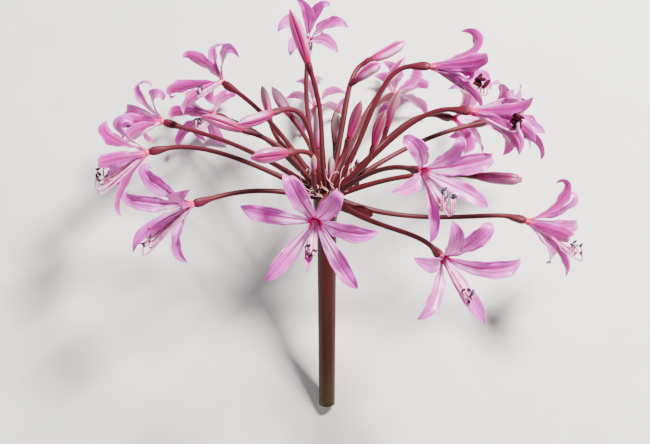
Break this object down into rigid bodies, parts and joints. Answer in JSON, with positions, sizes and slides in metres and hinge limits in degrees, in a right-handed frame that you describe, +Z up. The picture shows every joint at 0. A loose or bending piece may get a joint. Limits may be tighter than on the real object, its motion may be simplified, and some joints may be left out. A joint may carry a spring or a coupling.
{
  "type": "candelabra lily flower head",
  "caption": "Picked candelabra lily head with its bare stalk: long flower stems radiate from the top to pink trumpet flowers and closed buds; it lies on a surface, petals touching.",
  "frame": {"origin": "centre of the bounding box's underside, on the surface that the flower head lies on", "axes": "+X to the flower head's right as seen from its front, along its widest spread; +Y from the cut end of the stalk towards the flowers; +Z up from the surface"},
  "size_m": [0.4367, 0.3566, 0.319],
  "materials": {
    "stem": "smooth fleshy stem, dark maroon above, browner with some green near the cut",
    "dry_bract": "dry, papery",
    "petal": "soft satin petal, lilac pink with darker veins, deep pink at the throat",
    "bud": "satin, deep pink at the base, paler at the tip"
  },
  "bodies": {
    "root": {"stalk": "stem", "bract": "dry_bract", "flower_front": "petal", "flower_left_low": "petal", "flower_left_mid": "petal", "flower_left_high": "petal", "flower_back_left_high": "petal", "flower_back_left_low": "petal", "flower_top": "petal", "flower_back_centre": "petal", "flower_back_right": "petal", "flower_right_high": "petal", "flower_right_upper": "petal", "flower_right_upper_back": "petal", "flower_far_right_back": "petal", "flower_right_mid": "petal", "flower_right_low": "petal", "flower_right_far": "petal", "bud_top": "bud", "bud_back_left": "bud", "bud_back": "bud", "bud_left": "bud", "bud_left_drooping": "bud", "bud_left_near": "bud", "bud_slender": "bud", "bud_back_short": "bud", "bud_middle_pale": "bud", "bud_middle_dark": "bud", "bud_right": "bud", "bud_right_near": "bud", "bud_upper_right": "bud", "bud_upper_near": "bud", "bud_upper_back": "bud", "bud_far_right": "bud", "bud_small_striped": "bud", "bud_small_withered": "bud", "bud_small_pale": "bud", "bud_small_pink": "bud"}
  },
  "joints": []
}
